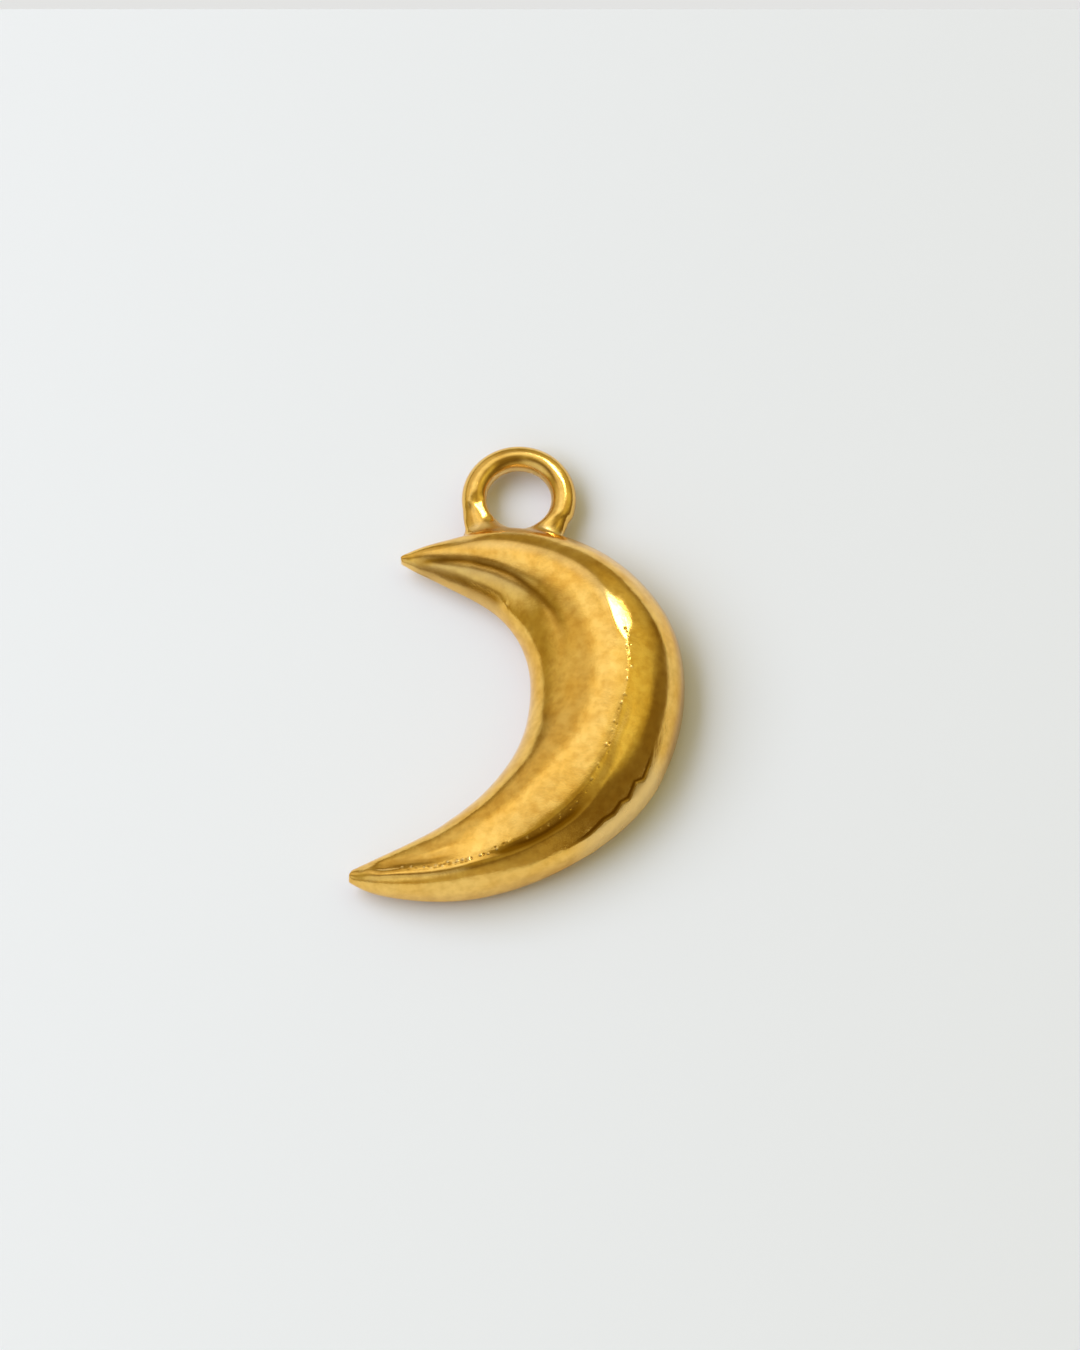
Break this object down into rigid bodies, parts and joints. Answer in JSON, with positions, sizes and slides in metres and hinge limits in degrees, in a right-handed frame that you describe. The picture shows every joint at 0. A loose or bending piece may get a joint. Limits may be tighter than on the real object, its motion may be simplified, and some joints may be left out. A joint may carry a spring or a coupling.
{
  "type": "moon charm",
  "caption": "Domed crescent moon charm in polished gold-coloured metal, with a round wire loop on its upper horn to hang it from a jump ring.",
  "frame": {"origin": "on the table under the middle of the charm's box, level with its flat back", "axes": "+Z out of the domed front, +Y from the lower horn's tip to the upper horn and its loop, +X from the open side of the crescent to its belly"},
  "size_m": [0.0094, 0.0156, 0.0027],
  "materials": {
    "polished_gold": "polished, with fine casting grain and a hand-filed strip at the loop"
  },
  "bodies": {
    "root": {"moon_charm": "polished_gold"}
  },
  "joints": []
}
